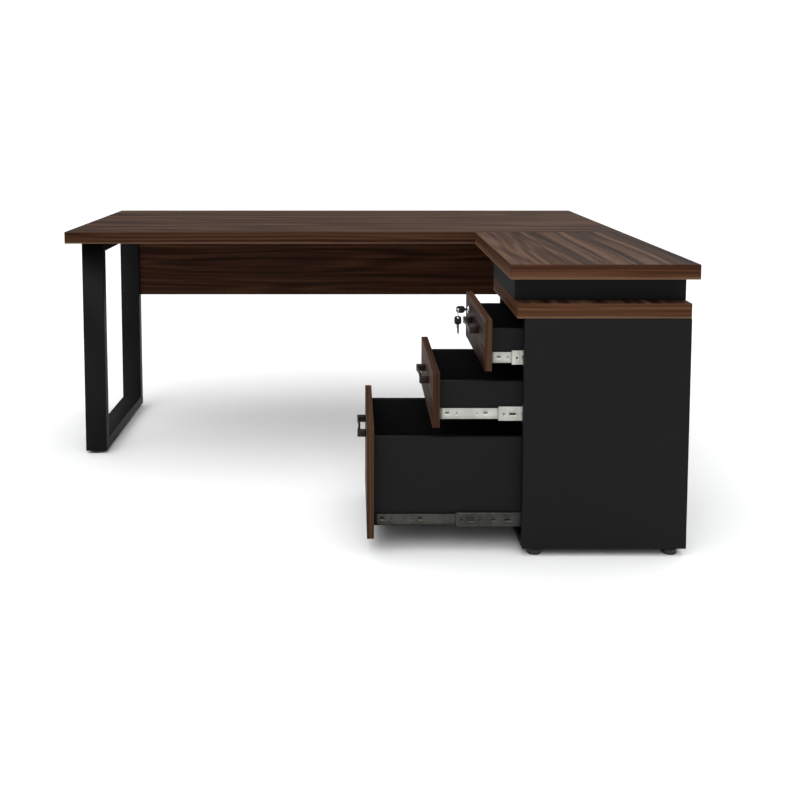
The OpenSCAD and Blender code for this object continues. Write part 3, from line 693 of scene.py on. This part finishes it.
def member_pair(name, low, high, depth, cuts, web_inside, finish):
    """The near and the far member of one kind. web_inside puts the web on the drawer's side."""
    length, height = high[0] - low[0], high[2] - low[2]
    points, faces = rolled_member(length, height, depth, cuts)
    middle_z = (low[2] + high[2]) / 2
    parts = []
    web_in = depth if web_inside else 0
    for inward, wall in ((1, low[1] + web_in), (-1, high[1] - web_in)):
        sign = -inward if web_inside else inward
        placed = points * [1, sign, 1] + [low[0], wall, middle_z]
        parts.append((placed, faces if sign > 0 else [face[::-1] for face in faces]))
    made = plain_piece(name, *gathered(parts), finish)
    made.data.set_sharp_from_angle(angle=math.radians(40))
    sheet = made.modifiers.new("sheet", "SOLIDIFY")
    sheet.thickness = SHEET
    sheet.offset = -1
    return made


# Each cut: its middle along the member, how long it is, how tall it is
CABINET_CUTS = [(0.034, 0.013, 0.005), (0.075, 0.0055, 0.0055), (0.204, 0.013, 0.005),
                (0.300, 0.0055, 0.0055), (0.364, 0.013, 0.005)]
MIDDLE_CUTS = [(0.014, 0.005, 0.005), (0.036, 0.018, 0.006), (0.062, 0.005, 0.005), (0.096, 0.011, 0.0035),
               (0.132, 0.017, 0.004), (0.200, 0.005, 0.005), (0.300, 0.005, 0.005)]
DRAWER_CUTS = [(0.020, 0.010, 0.0028), (0.044, 0.003, 0.003), (0.096, 0.003, 0.003), (0.118, 0.010, 0.0028),
               (0.240, 0.003, 0.003), (0.306, 0.010, 0.0028)]
BUFFER_THICK, BUFFER_HALF_LONG, BUFFER_HALF_TALL = 0.0015, 0.0075, 0.0022

# Each member: its depth, its cuts, and whether its web is on the drawer's side
MEMBERS = {"cabinet": (0.0094, CABINET_CUTS, False), "middle": (0.0065, MIDDLE_CUTS, False),
           "drawer": (0.0055, DRAWER_CUTS, True)}
for level in ("top", "middle", "bottom"):
    plating = dark_zinc if level == "bottom" else zinc
    riders = {"cabinet": "desk", "middle": level + "_slide_members", "drawer": level + "_drawer"}
    for kind, (depth, cuts, web_inside) in MEMBERS.items():
        node = f"{level}_slides_{kind}"
        low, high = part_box(node)
        piece = member_pair("rolled_" + node, low, high, depth, cuts, web_inside, plating)
        fix_piece(piece, riders[kind], node)
    wear_finish(level + "_slides_balls", zinc)

    # A black buffer pad fills the long slot near the front of each middle member
    low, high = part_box(f"{level}_slides_middle")
    slot_x, slot_z = low.x + MIDDLE_CUTS[1][0], (low.z + high.z) / 2
    for side, y in (("near", low.y), ("far", high.y - BUFFER_THICK)):
        pad = board_piece(f"buffer_{level}_{side}",
                          (slot_x - BUFFER_HALF_LONG, y, slot_z - BUFFER_HALF_TALL),
                          (slot_x + BUFFER_HALF_LONG, y + BUFFER_THICK, slot_z + BUFFER_HALF_TALL),
                          [moulded], edge=0.0003)
        fix_piece(pad, riders["middle"])


# ---- Handles: bow pulls with dark feet and a satin bronze grip ----
# Two cast feet, 128 mm apart, are screwed through the front from inside. The grip between
# them is a flat bar, hollowed a little where the fingers go.

FOOT_WIDE, FOOT_TALL = 0.016, 0.018
HANDLE_OUT, FOOT_LET_IN = 0.024, 0.0005
GRIP_STEPS, GRIP_AROUND = 33, 28
GRIP_INSET = 0.012
SCREW_DEEP = 0.018
SCREW_HEAD = [(0, 0), (0.0040, 0), (0.0040, 0.0008), (0.0034, 0.0018), (0.0022, 0.0023), (0, 0.0024)]

cast = black_finish("dark_cast_feet", (0.009, 0.0045, 0.0035, 1), (0.016, 0.008, 0.006, 1), 0.36, 0.46,
                    600.0, 0.00015, (0.04, 0.026, 0.02, 1), 0.25)
bronze = metal_finish("satin_bronze", (0.014, 0.0085, 0.006, 1), (0.030, 0.0195, 0.014, 1), 0.46, 0.56, 0.7,
                      scratch=(900, 30))


def grip_bar(face_x, y0, y1, z):
    """The grip: a superellipse section carried along Y.

    At share t of the length its middle stands 20.6 mm out, less 2.2 * sin(pi t)^2 mm. It is
    3.1 mm half thick, and 7.4 mm half tall, less 1 * sin(pi t)^2 mm."""
    t = np.linspace(0, 1, GRIP_STEPS)[:, None]
    q = np.linspace(0, 2 * np.pi, GRIP_AROUND, endpoint=False)[None, :]
    squareness = 0.6
    stand_out, hollow, half_thick, half_tall, waist = 0.0206, 0.0022, 0.0031, 0.0074, 0.0010
    dip = np.sin(np.pi * t) ** 2
    section_x = np.sign(np.cos(q)) * np.abs(np.cos(q)) ** squareness
    section_z = np.sign(np.sin(q)) * np.abs(np.sin(q)) ** squareness
    x = face_x - stand_out + hollow * dip + half_thick * section_x
    z = z + (half_tall - waist * dip) * section_z
    y = y0 + (y1 - y0) * t + 0 * q
    points = np.stack([x + 0 * q, y, z], -1).reshape(-1, 3)
    walls = [face[::-1] for face in grid_faces(GRIP_STEPS, GRIP_AROUND)]
    last = (GRIP_STEPS - 1) * GRIP_AROUND
    return points, walls + [list(range(GRIP_AROUND)), list(range(last, last + GRIP_AROUND))[::-1]]


for level in ("top", "middle", "bottom"):
    node = level + "_handle"
    low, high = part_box(node)
    face_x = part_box(level + "_drawer_front")[0].x
    z = (low.z + high.z) / 2
    for end, y in (("near", low.y), ("far", high.y - FOOT_WIDE)):
        points, faces, *_ = board_shell((face_x - HANDLE_OUT, y, z - FOOT_TALL / 2),
                                        (face_x + FOOT_LET_IN, y + FOOT_WIDE, z + FOOT_TALL / 2),
                                        edge=0.0018, corner=0.001, flat=0)
        foot = plain_piece(f"cast_{node}_{end}_foot", points, faces, cast)
        foot.data.set_sharp_from_angle(angle=math.radians(30))
        head_at = (face_x + SCREW_DEEP, y + FOOT_WIDE / 2, z)
        screw = plain_piece(f"screw_{node}_{end}", *turned(SCREW_HEAD, head_at, axis=0, steps=32), zinc)
        screw.data.set_sharp_from_angle(angle=math.radians(40))
        for piece in (foot, screw):
            fix_piece(piece, level + "_drawer")
    bar = plain_piece(f"bronze_{level}_grip", *grip_bar(face_x, low.y + GRIP_INSET, high.y - GRIP_INSET, z),
                      bronze)
    bar.data.set_sharp_from_angle(angle=math.radians(50))
    fix_piece(bar, level + "_drawer", node)


# ---- Lock, key and spare key ----
# A cam lock near the far end of the top front, with a bright flange. One key stands in it;
# the spare hangs from a wire ring through the first key's bow. Bows are black plastic.

chrome = metal_finish("lock_chrome", (0.62, 0.62, 0.62, 1), (0.85, 0.85, 0.84, 1), 0.12, 0.2, 0.95,
                      scratch=(60, 60))
blade_steel = metal_finish("key_blade", (0.10, 0.10, 0.10, 1), (0.20, 0.20, 0.195, 1), 0.24, 0.34, 0.9,
                           scratch=(40, 500))
low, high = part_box("lock_housing")
LOCK_Y, LOCK_Z = (low.y + high.y) / 2, (low.z + high.z) / 2
LOCK_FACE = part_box("top_drawer_front")[0].x
BORE = 0.00605

# The flange rises from the face in a rounded step and falls to the plug's bore
flange = [(BORE, -0.0026), (0.0066, -0.0030), (0.0092, -0.0030), (0.0104, -0.0026), (0.0112, -0.0016),
          (0.0115, -0.0004), (0.0115, 0), (0.0090, 0), (0.0090, 0.0181), (0.0115, 0.0181), (0.0115, 0.0211),
          (0.0090, 0.0211), (0.0090, 0.0230), (BORE, 0.0230)]


def hollow_turned(profile, centre, axis, steps):
    """Points and faces of a ring-shaped turned part: the closed profile of (r, h) goes once
    round the axis."""
    profile = np.array(profile)
    q = np.linspace(0, 2 * np.pi, steps, endpoint=False)
    u, v = (axis + 1) % 3, (axis + 2) % 3
    points = np.zeros((len(profile), steps, 3))
    points[..., u] = profile[:, :1] * np.cos(q)
    points[..., v] = profile[:, :1] * np.sin(q)
    points[..., axis] = profile[:, 1:2]
    return points.reshape(-1, 3) + np.array(centre), grid_faces(len(profile), steps, close_rows=True)


housing = plain_piece("chrome_lock_housing", *hollow_turned(flange, (LOCK_FACE, LOCK_Y, LOCK_Z), 0, 64),
                      chrome)
housing.data.set_sharp_from_angle(angle=math.radians(40))
fix_piece(housing, "top_drawer", "lock_housing")
for node in ("lock_plug", "lock_cam"):
    wear_finish(node, chrome)

BOW_LONG, BOW_TALL, BOW_THICK = 0.025, 0.021, 0.004
BOW_HOLE = 0.0025
HOLE_IN = 0.005
BOW_RAYS, BOW_AROUND = 48, 24
BLADE_HALF = 0.0011


def key_bow():
    """The bow as (along, across, thickness) points and faces, along from its rounded end.

    Each ray, at angle q, joins a point of the hole's rim to one of the outline, a
    superellipse. The closed section at angle p on that ray goes from rim to outline by
    (1 - cos p) / 2, and 2 mm * |sin p|^0.35 to each side of the middle plane."""
    q = np.linspace(0, 2 * np.pi, BOW_RAYS, endpoint=False)
    p = np.linspace(0, 2 * np.pi, BOW_AROUND, endpoint=False)
    rim = np.stack([HOLE_IN + BOW_HOLE * np.cos(q), BOW_HOLE * np.sin(q)], 1)
    half_a, half_b, power, fullness = BOW_LONG / 2, BOW_TALL / 2, 3.2, 0.35
    reach = (np.abs(np.cos(q)) ** power + np.abs(np.sin(q)) ** power) ** (-1 / power)
    hull = np.stack([half_a + half_a * reach * np.cos(q), half_b * reach * np.sin(q)], 1)
    share = ((1 - np.cos(p)) / 2)[None, :, None]
    flat = rim[:, None] * (1 - share) + hull[:, None] * share
    thick = BOW_THICK / 2 * np.sign(np.sin(p)) * np.abs(np.sin(p)) ** fullness
    thick = np.broadcast_to(thick[None, :, None], (BOW_RAYS, BOW_AROUND, 1))
    points = np.concatenate([flat, thick], 2).reshape(-1, 3)
    return points, grid_faces(BOW_RAYS, BOW_AROUND, close_rows=True)


def key_blade():
    """The blade as (along, across, thickness): a plate with a zigzag lower edge and a sloped
    tip."""
    edge = [(0.022, -0.0035), (0.0335, -0.0035), (0.0350, -0.0016), (0.0365, -0.0028), (0.0385, -0.0010),
            (0.0405, -0.0026), (0.0425, -0.0014), (0.0445, -0.0030), (0.0470, -0.0012), (0.0530, -0.0002),
            (0.0530, 0.0010), (0.0505, 0.0035), (0.022, 0.0035)]
    edge = np.array(edge)
    n = len(edge)
    points = np.concatenate([np.c_[edge, np.full(n, -BLADE_HALF)], np.c_[edge, np.full(n, BLADE_HALF)]])
    return points, [list(range(n))[::-1], list(range(n, 2 * n))] + grid_faces(2, n)


# Each key: its body, the directions that its length, width and thickness take, and the end of its bow
key_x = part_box("lock_key")[0].x
KEYS = {
    "lock_key": ("lock", np.array([(1, 0, 0), (0, 0, 1), (0, -1, 0)], float), (key_x, LOCK_Y, LOCK_Z)),
    "spare_key": ("spare_keys", np.array([(0, 0, -1), (1, 0, 0), (0, -1, 0)], float),
                  (key_x + HOLE_IN, LOCK_Y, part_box("spare_key")[1].z)),
}
for node, (body, turn, origin) in KEYS.items():
    points, faces = key_bow()
    bow = plain_piece("bow_of_" + node, points @ turn + origin, faces, moulded)
    points, faces = key_blade()
    blade = plain_piece("blade_of_" + node, points @ turn + origin, faces, blade_steel, smooth=False)
    bevel = blade.modifiers.new("softened", "BEVEL")
    bevel.width = 0.0003
    bevel.segments = 2
    fix_piece(bow, body, node)
    fix_piece(blade, body)

# The ring: a round wire whose middle line is a circle through both bows
RING_RADIUS, WIRE = 0.012, 0.0007
q = np.linspace(0, 2 * np.pi, 12, endpoint=False)
wire = np.stack([RING_RADIUS + WIRE * np.cos(q), WIRE * np.sin(q)], 1)
low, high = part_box("key_ring")
ring = plain_piece("wire_key_ring", *hollow_turned(wire, (low + high) / 2, 0, 72), chrome)
fix_piece(ring, "spare_keys", "key_ring")


# ---- Sizes ----
# The box round the finished pieces, leaving out the floor.

low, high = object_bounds()
